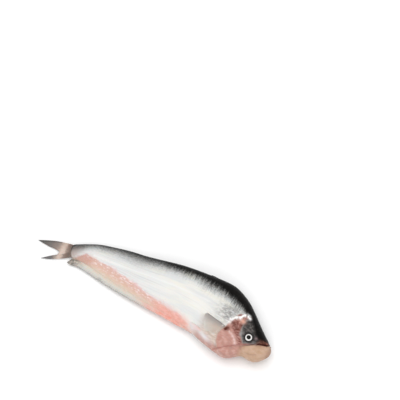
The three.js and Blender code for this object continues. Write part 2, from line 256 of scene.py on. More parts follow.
# %% Helpers: marking, modifiers, faces and names
def mark(piece, name, values):
    """Stores a number per vertex, for the finish to read."""
    made = piece.data.attributes.new(name, "FLOAT", "POINT")
    made.data.foreach_set("value", np.ascontiguousarray(values, np.float32).ravel())


def apply(piece, kind, **settings):
    only(piece)
    modifier = piece.modifiers.new(kind.title(), kind)
    for key, value in settings.items():
        setattr(modifier, key, value)
    bpy.ops.object.modifier_apply(modifier=modifier.name)


def faces_out(piece):
    """Welds corners that lie on each other, so that the piece is closed, and turns its faces outwards."""
    only(piece)
    bpy.ops.object.mode_set(mode="EDIT")
    bpy.ops.mesh.select_all(action="SELECT")
    bpy.ops.mesh.remove_doubles(threshold=0.000001)
    bpy.ops.mesh.normals_make_consistent(inside=False)
    bpy.ops.object.mode_set(mode="OBJECT")


def dress(piece, name, finish, node):
    """Names a finished piece, gives it its finish and ties it to the frame."""
    piece.name = piece.data.name = name
    piece.data.materials.clear()
    piece.data.materials.append(finish)
    only(piece)
    bpy.ops.object.shade_smooth()
    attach(piece, "root")
    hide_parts(node)
    print(f"{name}: {len(piece.data.polygons)} faces")


# %% Helpers: lines on the fish and soft profiles
def line_distance(x, y, line):
    """Distance from each place to a line of points, how far along it that is, and on which side."""
    line = np.asarray(line, float)
    best, share, side = np.full(x.shape, 1e9), np.zeros(x.shape), np.zeros(x.shape)
    lengths = np.hypot(*np.diff(line, axis=0).T)
    start = np.concatenate([[0], np.cumsum(lengths)])
    for (ax, ay), (bx, by), s0, length in zip(line[:-1], line[1:], start, lengths):
        t = np.clip(((x - ax) * (bx - ax) + (y - ay) * (by - ay)) / length ** 2, 0, 1)
        d = np.hypot(x - ax - t * (bx - ax), y - ay - t * (by - ay))
        nearer = d < best
        best = np.where(nearer, d, best)
        share = np.where(nearer, (s0 + t * length) / start[-1], share)
        cross = (bx - ax) * (y - ay) - (by - ay) * (x - ax)
        side = np.where(nearer, np.sign(cross), side)
    return best, share, side


def bump(distance, width):
    """A soft bell: 1 at distance 0, and nearly 0 past twice the width."""
    return np.exp(-(distance / width) ** 2)


def window(value, start, full, fade, end):
    """0 up to start, 1 from full to fade, and 0 again from end on."""
    return smoothstep(start, full, value) * smoothstep(end, fade, value)


# %% [markdown]
# ## The skin
# The skin of head, trunk and tail stalk grew as one piece. A box or a cylinder would need many cuts
# to become a fish, but a sphere already is one closed skin with a pole for the snout and a pole for
# the end of the stalk. So a sphere is drawn out along the table of sections, with its rings closer
# together at the head, and then smoothed by a subdivision that is applied.

# %% The smooth body
POLE_RING, POLE_PLACE = 0.95, 0.985
deselect()
bpy.ops.mesh.primitive_uv_sphere_add(segments=48, ring_count=84, radius=1)
skin = bpy.context.object
ball = corners(skin)
ring = np.arccos(np.clip(ball[:, 2], -1, 1)) / np.pi
along = np.where(ring < POLE_RING, (ring / POLE_RING) ** 1.5 * POLE_PLACE,
                 POLE_PLACE + (ring - POLE_RING) / (1 - POLE_RING) * (1 - POLE_PLACE))
put(skin, to_row(skin_point(along, np.arctan2(ball[:, 1], ball[:, 0]))))
faces_out(skin)
apply(skin, "SUBSURF", levels=2, render_levels=2)
print("smooth body:", len(skin.data.vertices), "vertices")

# %% [markdown]
# The features of the head come next: gill cover, cheek fold, mouth with its lips, eye sockets and
# nostrils. On the fish these are folds of the same skin, so they are pushed into the surface along
# its normal, each as a soft profile across a line drawn in fish axes.

# %% Places and lines on the head
EYE = (-20.2, -2.6)
EYE_RADIUS = 3.0
NOSTRILS = [(-7.6, 1.0), (-14.6, -0.6)]
MOUTH_CORNER = -11.6
CHEEK_HOLLOW = (-33.5, 2.5)
GILL_EDGE = [
    (-25.5, 15.2), (-27.6, 14.4), (-30.8, 13.6), (-35, 11.2), (-37.8, 6.4), (-39.3, 1.8), (-40.2, -2.4),
    (-42.3, -6.4), (-43.7, -11.4), (-42.9, -16), (-40.4, -20), (-37, -22.6), (-34, -23.5)]
CHEEK_FOLD = [
    (-12.8, -5), (-17, -6.9), (-23, -10.1), (-28.9, -14), (-33.4, -17), (-37.1, -19.7), (-42.5, -22.5)]
GILL_RIDGE = [
    (-39.6, -1.4), (-39.6, 3.4), (-36.6, 7), (-33.2, 8.6), (-31.5, 12), (-28.7, 13.5), (-26.1, 12)]
CHEEK_RIDGE = [(-36.3, -5.7), (-32.9, -7.3), (-30.2, -9.4), (-28.1, -12)]


def mouth_line(x):
    """The gape. In front it curls up, because the lower jaw juts out."""
    return 0.35 * x + 3 * smoothstep(-5, -1, x)


def away(x, y, place):
    """Distance of each point from a place on the side of the fish."""
    return np.hypot(x - place[0], y - place[1])


print("the gill cover reaches", -min(x for x, y in GILL_EDGE), "mm back from the snout")

# %% Sculpt the skin of the head
p = to_fish(corners(skin))
n = outward(skin)
x, y = p[:, 0], p[:, 1]
on_side = smoothstep(0.15, 0.5, np.abs(n[:, 2]))
push = np.zeros(len(p))

# The gill cover stands out from the flank, and a groove runs behind its free edge.
d, share, side = line_distance(x, y, GILL_EDGE)
signed = d * side
cover = smoothstep(-0.5, 0.35, signed) * (1 - smoothstep(3, 12, signed)) * smoothstep(0, 0.12, share)
push += on_side * (0.75 * cover - 0.55 * bump(signed + 0.7, 0.55) * smoothstep(0.05, 0.2, share))

# The cheek fold is a crease with a soft roll above it.
d, share, side = line_distance(x, y, CHEEK_FOLD)
push += on_side * (-0.5 * bump(d, 0.55) + 0.35 * bump(d * side + 1.5, 1.2)) * smoothstep(0, 0.15, share)

# Two bony ridges lie on the gill cover, with a hollow between them.
d, share, side = line_distance(x, y, GILL_RIDGE)
push += on_side * 0.7 * bump(d, 1.5)
d, share, side = line_distance(x, y, CHEEK_RIDGE)
push += on_side * 0.4 * bump(d, 0.9)
push -= on_side * 0.5 * bump(away(x, y, CHEEK_HOLLOW), 2.6)

# Each eye sits in a shallow pit with a raised rim, and each nostril is a small pit.
r = away(x, y, EYE)
pit = 1.0 * (1 - smoothstep(EYE_RADIUS - 0.7, EYE_RADIUS + 0.1, r))
push += on_side * (0.45 * bump(r - EYE_RADIUS - 0.75, 0.6) - pit)
for place in NOSTRILS:
    r = away(x, y, place)
    push += on_side * (0.2 * bump(r - 0.9, 0.35) - 0.7 * bump(r, 0.5))

# The mouth is a slit between two rolled lips.
q = y - mouth_line(x)
in_mouth = smoothstep(MOUTH_CORNER - 0.4, MOUTH_CORNER + 0.8, x)
depth = 0.9 + 1.3 * smoothstep(MOUTH_CORNER, -3, x)
push -= in_mouth * depth * bump(q, 0.5)
push += in_mouth * (0.3 * bump(q - 1.25, 0.6) + 0.4 * bump(q + 1.35, 0.7))
print("corners moved on the head:", int((np.abs(push) > 0.05).sum()), "of", len(push))

# %% Sculpt the trunk and move the skin
# The muscle at the root of the pectoral fin, and the shoulder behind the gill cover.
push += on_side * 0.55 * bump(x + 44.5, 2.2) * bump(y + 11, 5.5)
push += on_side * 0.5 * bump(np.hypot((x + 49) / 1.6, y - 6), 6)

# The fold over the long fin. It is also the edge between the silver flank and the pink flesh.
PINK_EDGE = curve_through([-180, -170, -155, -145, -135, -124, -111, -103, -90, -78, -68, -58],
                          [2, 4.5, 4.4, 3, 1.2, -1.4, -4.4, -5.8, -7.8, -10.2, -13.4, -17])
in_tail = window(x, -182, -170, -75, -60)
push -= on_side * in_tail * 0.3 * bump(y - PINK_EDGE(x), 1.3)

# The lower jaw juts out, and nothing sinks into the table.
JAW_REACH, LOWEST = 0.5, 0.01
p = p + n * push[:, None]
p[:, 0] += JAW_REACH * smoothstep(-9, -1, x) * smoothstep(0.2, -1.5, q) * bump(y + 4, 7)
p[:, 2] = np.maximum(p[:, 2], LOWEST)
put(skin, to_row(p))
print("deepest push", round(float(push.min()), 2), "mm, highest", round(float(push.max()), 2), "mm")

# %% [markdown]
# ## Colour marks on the skin
# The colours follow the fish, not the view. So each colour zone is stored as a number on the skin:
# how far a place is into the black band of the back, how pink it is, where blood shows. The finish
# breaks the edges of these zones with its own streaks and specks.

# %% Mark the way the silver runs
# flow is a place on the flank as if the body were equally deep all along, so that lines drawn on it
# run with the body and close up towards the tail.
EVEN_DEPTH, FLANK_SHIFT = 45, 20
x, y, z = to_fish(corners(skin)).T
along = np.clip(-x / LENGTH, 0, 1)
level, up, down = section(along)[:3]
top, low = level + up, level - down
share = np.clip((y - low) / np.maximum(top - low, 1), 0, 1)
strip = np.stack([x, share * EVEN_DEPTH, np.sign(z - middle(along)) * FLANK_SHIFT], axis=-1)
flow = skin.data.attributes.new("flow", "FLOAT_VECTOR", "POINT")
flow.data.foreach_set("vector", strip.astype(np.float32).ravel() / 1000)
LATERAL_LINE = [(-62, 9.5), (-75, 10), (-95, 9.8), (-115, 8.6), (-140, 7.2), (-165, 6)]
mark(skin, "lateral", bump(line_distance(x, y, LATERAL_LINE)[0], 0.7))
mark(skin, "towards_tail", smoothstep(-80, -120, x))
print("deepest section", round(float((top - low).max()), 1), "mm")

# %% Mark the black back
# At each station, how deep the band is black and over what depth it then fades out.
STATIONS = [-185, -178, -170, -160, -150, -140, -130, -120, -110, -100, -90, -80,
            -70, -60, -52, -45, -38, -32, -26, -20, -14, -8, -3.5, 0]
BLACK_DEPTH = curve_through(STATIONS, [-2, -2, -1.4, -0.8, -0.8, 0, 0.2, 0.8, 1.6, 3.6, 4.2, 4.5,
                                       5.6, 7.7, 8.6, 9.4, 8.4, 8.2, 6, 7, 8.6, 5, 0, -3])
FADE_DEPTH = curve_through(STATIONS, [11, 11, 9, 9.5, 10.5, 11.5, 12.5, 11.5, 10.5, 8.5, 8.5, 8.5,
                                      11, 9.5, 9.5, 9.5, 9, 6.5, 5, 5, 6, 5, 2, 2])
mark(skin, "back", np.clip((top - y - BLACK_DEPTH(x)) / FADE_DEPTH(x), -0.6, 2))
mark(skin, "comb", window(x, -125, -85, -32, -20))
mark(skin, "stalk_end", smoothstep(-170, -183, x) * smoothstep(top - 0.5, top - 3, y))
print("the black band is", float(BLACK_DEPTH(-45)), "mm deep behind the head")

# %% Mark the pink flesh and the trunk behind the gill cover
pink_below = PINK_EDGE(x) - y
mark(skin, "below_pink_edge", np.where(in_tail > 0, pink_below, -9) - 6 * (1 - in_tail))
mark(skin, "pink_depth", np.clip(pink_below / np.maximum(PINK_EDGE(x) - low, 1), 0, 1))
belly_edge_height = y - low + 3 * smoothstep(-75, -60, x)
mark(skin, "coral", window(x, -112, -92, -80, -52) * smoothstep(8, 0.5, belly_edge_height))
mark(skin, "flush", window(x, -185, -179, -171, -158))
mark(skin, "shoulder", bump(x + 43, 10) * window(y, -4, 4, 11, 17) * smoothstep(-33, -37, x))
mark(skin, "beige", window(x, -66, -52, -40, -34) * smoothstep(-1, -6, y + (x + 45) * 0.1))
mark(skin, "dusk", window(x, -65, -56, -45, -41) * smoothstep(-0.8, -2.2, y) * smoothstep(-12, -2, y))
# Painted highlight: a bluish-white patch low on the flank behind the gill cover, where light glints on the
# wet skin.
mark(skin, "sheen_highlight", bump(np.hypot((x + 53) / 3, y + 17 + (x + 53) * 0.3), 2.0))
print("pink below the edge at", int((pink_below > 0).sum()), "of", len(x), "corners")

# %% [markdown]
# The head has more colours than the rest. A dark hood covers its top as far back as the gill cover.
# On the cheek and the throat the flesh shows through, with a few spots of blood, and its two
# ridges carry painted highlights. The lips are dark, and the chin under them is tan.

# %% Mark the cheek, the throat and the hood
HOOD_EDGE = [(-24.4, 13.5), (-28.4, 9.6), (-29.4, 4.6), (-28.7, 0.9),
             (-28.2, -3), (-25.1, -6.4), (-22.6, -9.2), (-12.4, -5)]
BLOOD = [((-38.6, -4.2), 1.8, 1), ((-40.2, -5.6), 1.2, 0.8), ((-32, -0.6), 2.0, 0.6),
         ((-35.4, 1.4), 1.8, 0.6), ((-29.8, 3.3), 1.2, 0.7)]
d, share, side = line_distance(x, y, GILL_EDGE)
inside = smoothstep(-0.8, 0.6, d * side)
d, share, side = line_distance(x, y, HOOD_EDGE)
before_edge = d * side
cheek = inside * smoothstep(1.2, -1.2, before_edge) * smoothstep(15, 12.5, y) * smoothstep(-47, -43, x)
throat = smoothstep(1.5, -1.5, y + 22 + (x + 40.5) * 0.62) * smoothstep(-62, -40, x)
belly = smoothstep(5.5, 1.5, y - low) * window(x, -68, -56, -32, -25)
mark(skin, "flesh", np.clip(np.maximum(np.maximum(cheek, throat), belly * 0.9), 0, 1))
mark(skin, "raw", cheek * smoothstep(-8.5, -4, y + 0.9 * (x + 31)) * smoothstep(-40, -37, x))
mark(skin, "blood", np.clip(sum(much * bump(away(x, y, place), wide) for place, wide, much in BLOOD), 0, 1))
mark(skin, "orange", bump(np.hypot((x + 30.2) / 1.25, y - 6.9), 1.8))
# Painted highlight: a light grey crescent just behind each eye.
mark(skin, "eye_back_highlight", bump(np.hypot(x + 27.2, (y + 2.6) / 1.8), 1.2))
print("corners on the cheek:", int((cheek > 0.5).sum()), "of", len(x))

# %% Mark the ridges, the fold, the eye and the nostril
# Painted highlights: pale patches along the upper ridge of the gill cover and pinkish specks along the cheek
# ridge, where light glints on the wet ridges.
d, share, side = line_distance(x, y, GILL_RIDGE)
mark(skin, "ridge_highlight", np.clip(bump(d, 1.0 + 0.6 * np.sin(share * 19) ** 2) * smoothstep(0, 0.15, share), 0, 1))
d, share, side = line_distance(x, y, CHEEK_RIDGE)
mark(skin, "cheek_ridge_highlight", bump(d, 0.7 + 0.4 * np.sin(share * 11) ** 2))
# Painted shade: a dark red line in the crease of the cheek fold.
d, share, side = line_distance(x, y, CHEEK_FOLD)
mark(skin, "fold_shade", bump(d, 0.6) * smoothstep(0, 0.2, share))
# Painted shade: a near-black ring in the groove between each eye and the raised rim of its pit.
mark(skin, "socket", bump(away(x, y, EYE) - EYE_RADIUS - 0.5, 0.8))
mark(skin, "nostril", np.clip(bump(away(x, y, (-14.8, -0.6)), 1.1), 0, 1))
print("ridges, fold, eye socket and nostril marked")

# %% Mark the mouth and the chin
q = y - mouth_line(x)
behind_mouth = x < MOUTH_CORNER
above_chin = np.where(behind_mouth, y + 4.4 - (x - MOUTH_CORNER) * 0.46, q)
mark(skin, "hood", smoothstep(-1.6, 1.6, before_edge) * np.where(behind_mouth, 1, smoothstep(-0.6, 0.3, q)))
mark(skin, "chin", smoothstep(-26, -19, x) * smoothstep(0, -1.2, above_chin))
mark(skin, "jaw_tip", smoothstep(-3.4, -0.6, x) * smoothstep(0.3, -0.8, q))
# Painted shade: the slit of the mouth and its corner are darkened nearly to black, with a red tint, where the
# lips close over the groove.
corner = bump(away(x, q, (MOUTH_CORNER - 0.2, 0)), 1.1)
mark(skin, "gape", np.clip(in_mouth * bump(q - 0.2, 0.8) + corner, 0, 1))
mark(skin, "lips", smoothstep(-14, -11, x) * bump(q - 0.9, 2.3))
mark(skin, "upper_lip", smoothstep(-10, -4, x) * smoothstep(-0.4, 0.4, q) * smoothstep(5, 2.5, q))
print("colour marks:", [a.name for a in skin.data.attributes if a.data_type == "FLOAT"])

# %% [markdown]
# ## The finish of wet skin
# Fresh skin is a thin clear film of slime over silver pigment, so it is a fairly smooth surface with
# a sharper clear coat. Nothing on it is one flat colour. A small builder keeps the node work short:
# it adds nodes, joins them and returns the output that the next step needs.


# %% A builder for finishes
class Finish:
    def __init__(self, name, **sockets):
        self.material = bpy.data.materials.new(name)
        self.material.use_nodes = True
        self.tree = self.material.node_tree
        self.shader = self.tree.nodes["Principled BSDF"]
        for socket, value in sockets.items():
            self.shader.inputs[socket.replace("_", " ")].default_value = value
        self.place = self.add("ShaderNodeTexCoord").outputs["Object"]

    def add(self, kind, **settings):
        made = self.tree.nodes.new(kind)
        for key, value in settings.items():
            setattr(made, key, value)
        return made

    def feed(self, value, socket):
        if isinstance(value, bpy.types.NodeSocket):
            self.tree.links.new(value, socket)
        elif isinstance(value, (tuple, list)) and len(value) == 3 and len(socket.default_value) == 4:
            socket.default_value = (*value, 1)
        else:
            socket.default_value = value

    def mark(self, name):
        return self.add("ShaderNodeAttribute", attribute_name=name).outputs["Fac"]

    def noise(self, size, detail=2.0, roughness=0.5, shift=0.0, place=None):
        """Cloudy noise whose blots are about size millimetres long in x, y and z."""
        mapping = self.add("ShaderNodeMapping")
        mapping.inputs["Scale"].default_value = [1000 / s for s in size]
        mapping.inputs["Location"].default_value = (shift, shift, shift)
        self.feed(place or self.place, mapping.inputs["Vector"])
        noise = self.add("ShaderNodeTexNoise")
        noise.inputs["Scale"].default_value = 1
        noise.inputs["Detail"].default_value = detail
        noise.inputs["Roughness"].default_value = roughness
        self.feed(mapping.outputs["Vector"], noise.inputs["Vector"])
        return noise.outputs["Fac"]

    def math(self, operation, *values, clamp=False):
        made = self.add("ShaderNodeMath", operation=operation, use_clamp=clamp)
        for value, socket in zip(values, made.inputs):
            self.feed(value, socket)
        return made.outputs[0]

    def times(self, *values, clamp=False):
        return self.math("MULTIPLY", *values, clamp=clamp)

    def swing(self, noise, width):
        """Noise centred on 0 and so wide. Added to a mark, it makes the edge of a zone wander."""
        return self.times(self.math("SUBTRACT", noise, 0.5), width)

    def band(self, value, low, high, to_low=0.0, to_high=1.0):
        made = self.add("ShaderNodeMapRange", interpolation_type="SMOOTHSTEP")
        sockets = ("Value", "From Min", "From Max", "To Min", "To Max")
        for socket, v in zip(sockets, (value, low, high, to_low, to_high)):
            self.feed(v, made.inputs[socket])
        return made.outputs["Result"]

    def ramp(self, value, stops):
        made = self.add("ShaderNodeValToRGB")
        ramp = made.color_ramp
        while len(ramp.elements) < len(stops):
            ramp.elements.new(0.5)
        for element, (place, colour) in zip(ramp.elements, stops):
            element.position = place
            element.color = (*colour, 1) if isinstance(colour, tuple) else (colour, colour, colour, 1)
        self.feed(value, made.inputs["Fac"])
        return made.outputs["Color"]

    def mix(self, amount, below, above, blend="MIX"):
        made = self.add("ShaderNodeMix", data_type="RGBA", blend_type=blend)
        self.feed(amount, made.inputs[0])
        self.feed(below, made.inputs[6])
        self.feed(above, made.inputs[7])
        return made.outputs[2]

    def stain(self, below, name, amount, above, clamp=False):
        """Lays a colour over another where the mark called name is, as strongly as amount says."""
        return self.mix(self.times(self.mark(name), amount, clamp=clamp), below, above)

    def bump(self, height, distance, strength=1.0, under=None):
        made = self.add("ShaderNodeBump")
        made.inputs["Strength"].default_value = strength
        made.inputs["Distance"].default_value = distance
        self.feed(height, made.inputs["Height"])
        if under:
            self.feed(under, made.inputs["Normal"])
        return made.outputs["Normal"]

    def finish(self, **sockets):
        for socket, value in sockets.items():
            self.feed(value, self.shader.inputs[socket.replace("_", " ")])
        print(f"{self.material.name}: {len(self.tree.nodes)} nodes")
        return self.material


# %% [markdown]
# The skin is one material, built from the bottom up as a painter would: silver first, then the pink
# flesh, the head, the black of the back over them, and the smallest marks last. Five noises are
# shared by these layers, each at the size of something on the fish: upright streaks, specks of
# pigment, flecks of flesh, blots and veins.

# %% The skin's finish: patterns that all its parts share
wet = Finish("wet_skin", Coat_Weight=0.03, Coat_Roughness=0.12, Specular_IOR_Level=0.05,
             Subsurface_Weight=0.05, Subsurface_Scale=0.0012)
streaks = wet.noise((0.85, 8, 8), detail=3, roughness=0.6, shift=1.3)
specks = wet.noise((1.3, 1.0, 1.0), detail=3, roughness=0.75, shift=5.2)
flecks = wet.noise((4.5, 1.6, 1.6), detail=4, roughness=0.65, shift=2.2)
blots = wet.noise((4.2, 3.4, 3.4), detail=3, roughness=0.5, shift=6.1)
veins = wet.noise((6, 1.4, 1.4), detail=4, roughness=0.6, shift=9.9)
print("shared patterns:", len(wet.tree.nodes), "nodes")

# %% The skin's finish: the silver flank
flow = wet.add("ShaderNodeAttribute", attribute_name="flow").outputs["Vector"]
clouds = wet.noise((34, 7, 9), detail=3, place=flow)
silver = wet.mix(wet.band(clouds, 0.35, 0.65), (0.645, 0.655, 0.65), (0.735, 0.725, 0.69))
silver = wet.stain(silver, "towards_tail", 0.55, (0.665, 0.675, 0.68))
cream = wet.band(wet.noise((24, 4, 7), detail=3, shift=3.1, place=flow), 0.5, 0.68, 0, 0.5)
silver = wet.mix(cream, silver, (0.75, 0.725, 0.63))
lines = wet.noise((46, 0.9, 20), detail=3, roughness=0.55, shift=7.7, place=flow)
lines = wet.math("ADD", lines, wet.band(wet.mark("towards_tail"), 0, 1, 0.09, 0))
silver = wet.mix(1.0, silver, wet.ramp(lines, [(0.28, 0.84), (0.5, 1.0), (0.72, 1.0)]), "MULTIPLY")
silver = wet.stain(silver, "lateral", 0.6, (0.78, 0.78, 0.77))
scuffs = wet.noise((3.2, 1.3, 2), detail=4, roughness=0.65, shift=7.1)
skin_colour = wet.stain(silver, "shoulder", wet.band(scuffs, 0.36, 0.6, 0.25, 1.0), (0.27, 0.262, 0.258))
print("silver flank:", len(wet.tree.nodes), "nodes so far")

# %% [markdown]
# Over the long fin there is no silver under the skin, so the pink muscle shows. The line between the
# two isn't sharp: it wanders in two sizes of noise, and a blush runs ahead of it. Pearly flecks lie
# in the pink, and along the belly's edge behind the vent it turns coral.

# %% The skin's finish: pink flesh and the coral edge of the belly
depth = wet.math("ADD", wet.mark("pink_depth"), wet.swing(flecks, 0.8))
pink_colour = wet.ramp(depth, [
    (0.0, (0.68, 0.45, 0.43)), (0.2, (0.60, 0.385, 0.325)), (0.55, (0.615, 0.405, 0.32)),
    (0.85, (0.635, 0.48, 0.375)), (1.0, (0.61, 0.53, 0.43))])
pearls = wet.band(wet.noise((3.6, 1.3, 1.3), detail=4, roughness=0.6, shift=4.4), 0.5, 0.64, 0, 0.85)
pearls = wet.times(pearls, wet.band(wet.mark("pink_depth"), 0.35, 0.75, 1, 0.35))
pink_colour = wet.mix(pearls, pink_colour, (0.80, 0.68, 0.67))
pink_colour = wet.stain(pink_colour, "flush", wet.band(specks, 0.35, 0.6, 0.35, 0.9), (0.46, 0.235, 0.19))
small_waves = wet.swing(wet.noise((7, 3.5, 3.5), detail=5, roughness=0.6, shift=6.6), 7)
broad_waves = wet.swing(wet.noise((20, 9, 9), detail=1, shift=12.4), 6)
wavering = wet.math("ADD", wet.math("ADD", wet.mark("below_pink_edge"), small_waves), broad_waves)
pink_amount = wet.times(wet.band(wavering, -1.6, 1.4), wet.band(flecks, 0.25, 0.5, 0.72, 1.0), clamp=True)
skin_colour = wet.mix(pink_amount, skin_colour, pink_colour)
blush = wet.times(wet.band(wavering, -5.5, -1.5), wet.band(specks, 0.5, 0.68, 0, 0.5), clamp=True)
blush = wet.times(blush, wet.band(wet.mark("below_pink_edge"), -6, -5))
skin_colour = wet.mix(blush, skin_colour, (0.70, 0.50, 0.52))
coral = wet.mix(wet.band(flecks, 0.4, 0.62), (0.73, 0.285, 0.23), (0.77, 0.43, 0.38))
skin_colour = wet.stain(skin_colour, "coral", wet.band(flecks, 0.3, 0.6, 0.45, 1.0), coral, clamp=True)
skin_colour = wet.stain(skin_colour, "stalk_end", wet.band(specks, 0.3, 0.6, 0.4, 0.8), (0.36, 0.26, 0.22))
print("pink flesh:", len(wet.tree.nodes), "nodes so far")

# %% [markdown]
# Behind the gill cover the trunk is sandy and streaked. The cheek and the throat are red-brown
# muscle under a thin skin, rawest above the lower ridge, and the chin is tan.

# %% The skin's finish: gill cover, throat and chin
sand = wet.mix(wet.band(veins, 0.4, 0.6), (0.45, 0.35, 0.285), (0.60, 0.48, 0.41))
skin_colour = wet.stain(skin_colour, "beige", wet.band(blots, 0.25, 0.5, 0.6, 0.9), sand)
skin_colour = wet.stain(skin_colour, "dusk", 0.6, (0.30, 0.28, 0.265))
flesh = wet.ramp(blots, [(0.3, (0.38, 0.18, 0.145)), (0.5, (0.47, 0.25, 0.21)), (0.72, (0.57, 0.36, 0.315))])
flesh = wet.mix(wet.band(veins, 0.5, 0.68, 0, 0.35), flesh, (0.58, 0.38, 0.34))
skin_colour = wet.stain(skin_colour, "flesh", wet.band(blots, 0.2, 0.5, 0.85, 1.0), flesh, clamp=True)
torn = wet.noise((2.2, 1.4, 1.4), detail=4, roughness=0.65, shift=3.3)
raw = wet.mix(wet.band(torn, 0.4, 0.64), (0.17, 0.055, 0.042), (0.44, 0.235, 0.20))
skin_colour = wet.stain(skin_colour, "raw", 0.9, raw)
# Painted highlight: the bluish-white patch low on the flank behind the gill cover.
skin_colour = wet.stain(skin_colour, "sheen_highlight", 0.7, (0.72, 0.73, 0.76))
tan = wet.mix(wet.band(blots, 0.35, 0.65), (0.46, 0.30, 0.20), (0.52, 0.355, 0.26))
tan = wet.mix(wet.band(specks, 0.58, 0.7, 0, 0.4), tan, (0.40, 0.235, 0.15))
skin_colour = wet.mix(wet.mark("chin"), skin_colour, tan)
print("gill cover, throat and chin:", len(wet.tree.nodes), "nodes so far")

# %% [markdown]
# The hood and the back are black pigment over everything else. Down the flank the black doesn't end
# in a line: it breaks up into short upright streaks, like the teeth of a comb, and then into specks.

# %% The skin's finish: the dark hood and the black back
hood_clouds = wet.noise((2.8, 2.2, 2.2), detail=4, roughness=0.65, shift=8.8)
hood = wet.mix(wet.band(hood_clouds, 0.4, 0.66), (0.022, 0.019, 0.018), (0.125, 0.110, 0.104))
skin_colour = wet.stain(skin_colour, "hood", 0.97, hood)
# Painted shade: the near-black ring in the groove round each eye.
skin_colour = wet.mix(wet.mark("socket"), skin_colour, (0.022, 0.020, 0.019))
# Painted highlight: the light grey crescent behind the eye, laid over the dark hood.
skin_colour = wet.stain(skin_colour, "eye_back_highlight", 0.7, (0.33, 0.31, 0.30))
skin_colour = wet.stain(skin_colour, "upper_lip", 0.75, (0.085, 0.040, 0.030))
comb = wet.swing(streaks, wet.math("MULTIPLY_ADD", wet.mark("comb"), 0.85, 0.15))
into_back = wet.math("ADD", wet.math("ADD", wet.mark("back"), comb), wet.swing(specks, 0.8))
darkness = wet.ramp(wet.math("MULTIPLY_ADD", into_back, 0.5, 0.2),
                    [(0.2, 1.0), (0.32, 0.9), (0.46, 0.6), (0.58, 0.28), (0.72, 0.07), (0.9, 0.0)])
back_clouds = wet.noise((3, 1.2, 1.2), detail=4, shift=9.4)
black = wet.mix(wet.band(back_clouds, 0.55, 0.8), (0.004, 0.0035, 0.003), (0.028, 0.024, 0.021))
skin_colour = wet.mix(darkness, skin_colour, black)
print("hood and back:", len(wet.tree.nodes), "nodes so far")

# %% The skin's finish: small marks of the head
skin_colour = wet.stain(skin_colour, "nostril", 0.75, (0.30, 0.215, 0.225))
# Painted shade: the dark red line in the crease of the cheek fold.
skin_colour = wet.stain(skin_colour, "fold_shade", 0.6, (0.36, 0.14, 0.12))
skin_colour = wet.stain(skin_colour, "orange", 0.9, (0.68, 0.36, 0.27))
clots = wet.band(blots, 0.3, 0.55, 0.75, 1.3)
skin_colour = wet.stain(skin_colour, "blood", clots, (0.085, 0.018, 0.010), clamp=True)
# Painted highlights on the two ridges of the gill cover: near-white patches on the upper one, pinkish-white
# specks on the cheek ridge.
patchy_highlight = wet.band(wet.noise((2.0, 1.6, 1.6), detail=3, shift=3.9), 0.34, 0.5, 0.3, 1.15)
skin_colour = wet.stain(skin_colour, "ridge_highlight", patchy_highlight, (0.86, 0.85, 0.84), clamp=True)
ridge_highlight_specks = wet.band(specks, 0.36, 0.6, 0.15, 0.8)
skin_colour = wet.stain(skin_colour, "cheek_ridge_highlight", ridge_highlight_specks, (0.74, 0.56, 0.53))
lip_colour = wet.mix(wet.band(flecks, 0.42, 0.58), (0.10, 0.032, 0.022), (0.27, 0.105, 0.07))
skin_colour = wet.stain(skin_colour, "lips", wet.band(specks, 0.38, 0.56, 0.35, 1.0), lip_colour, clamp=True)
# Painted shade in the slit of the mouth and at its corner.
skin_colour = wet.mix(wet.mark("gape"), skin_colour, (0.075, 0.022, 0.015))
skin_colour = wet.stain(skin_colour, "jaw_tip", wet.band(specks, 0.35, 0.6, 0.2, 0.6), (0.29, 0.15, 0.11))
print("small marks:", len(wet.tree.nodes), "nodes so far")

# %% [markdown]
# Slime shows in the highlights. A fine grain, the upright muscle blocks and the blots of the colour
# all lift the surface a little, and the roughness changes from place to place, because the film is
# thicker in one place than in another.

# %% The skin's finish: gloss and fine relief
grain = wet.noise((0.7, 0.7, 0.7), detail=3)
muscles = wet.noise((3.2, 16, 16), detail=1, shift=2.9)
relief = wet.bump(grain, 0.00012, 0.35)
relief = wet.bump(muscles, 0.0006, 0.25, relief)
relief = wet.bump(blots, 0.0004, 0.2, relief)
gloss = wet.band(wet.noise((8, 3, 3), detail=3, shift=1.7), 0.3, 0.7, 0.30, 0.45)
skin_finish = wet.finish(Base_Color=skin_colour, Roughness=gloss, Normal=relief)
dress(skin, "skin_of_fish", skin_finish, "body")

# %% [markdown]
# ## The eyes
# A fish's eye is a clear dome over a silver iris with a round black pupil. A sphere is flattened into
# a lens, set square to the cheek, and marked with the distance from its axis, which the finish turns
# into pupil, iris and dark rim.

# %% Eye finish
glassy = Finish("clear_eye", Roughness=0.15, Specular_IOR_Level=0.08)
rays = glassy.noise((0.7, 0.7, 0.7), detail=3)
iris = glassy.ramp(glassy.mark("from_axis"), [
    (0.0, (0.003, 0.003, 0.003)), (0.52, (0.003, 0.003, 0.003)), (0.58, (0.22, 0.20, 0.17)),
    (0.64, (0.82, 0.81, 0.79)), (0.88, (0.86, 0.85, 0.84)), (0.96, (0.25, 0.24, 0.23)),
    (1.0, (0.03, 0.027, 0.025))])
iris = glassy.mix(glassy.band(rays, 0.4, 0.7, 0, 0.25), iris, (0.55, 0.52, 0.48), "MULTIPLY")
eye_finish = glassy.finish(Base_Color=iris)


# %% Make both eyes
EYE_DEPTH, PUPIL_SHIFT, CORNEA, SUNK = 1.25, 0.1, 0.12, 0.35


